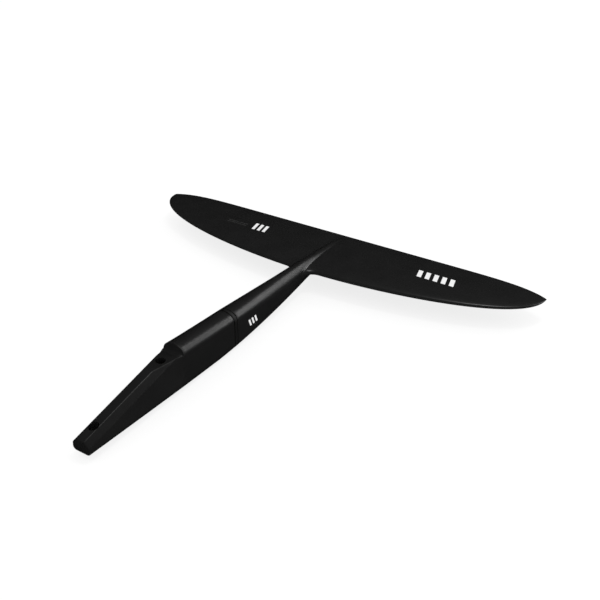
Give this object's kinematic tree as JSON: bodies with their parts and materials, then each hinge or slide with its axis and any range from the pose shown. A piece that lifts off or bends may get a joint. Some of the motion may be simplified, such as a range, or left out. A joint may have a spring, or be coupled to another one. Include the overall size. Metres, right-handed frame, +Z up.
{
  "type": "hydrofoil tail wing",
  "caption": "Hydrofoil tail wing: slim hollow rear fuselage with a wedge tongue at its nose and a thin stabiliser across its tail.",
  "frame": {"origin": "point on the level seat of the tongue, on the centreline, just ahead of the rear screw hole", "axes": "+X along the span, +Y from the nose to the stabiliser, +Z up, out of the seat"},
  "size_m": [0.3286, 0.2855, 0.0308],
  "materials": {
    "satin_carbon": "satin black laminate with a fine texture",
    "dark_seam": "matt black",
    "raw_carbon": "unpainted carbon laminate",
    "core_foam": "rigid closed-cell foam",
    "stainless_steel": "turned stainless steel"
  },
  "bodies": {
    "root": {"connector_body": "satin_carbon", "rear_shell_upper": "satin_carbon", "rear_shell_lower": "satin_carbon", "root_fairing_upper": "satin_carbon", "root_fairing_lower": "satin_carbon", "stab_upper_skin": "satin_carbon", "stab_lower_skin": "satin_carbon", "seam_band": "dark_seam", "joiner_spigot": "raw_carbon", "crown_longeron": "raw_carbon", "keel_longeron": "raw_carbon", "spar_cap_upper": "raw_carbon", "spar_cap_lower": "raw_carbon", "spar_web": "raw_carbon", "tail_block": "raw_carbon", "connector_core": "core_foam", "rear_core": "core_foam", "core_port_fore": "core_foam", "core_port_aft": "core_foam", "core_port_tip": "core_foam", "core_starboard_fore": "core_foam", "core_starboard_aft": "core_foam", "core_starboard_tip": "core_foam", "screw_seat_front": "stainless_steel", "screw_seat_rear": "stainless_steel"}
  },
  "joints": []
}
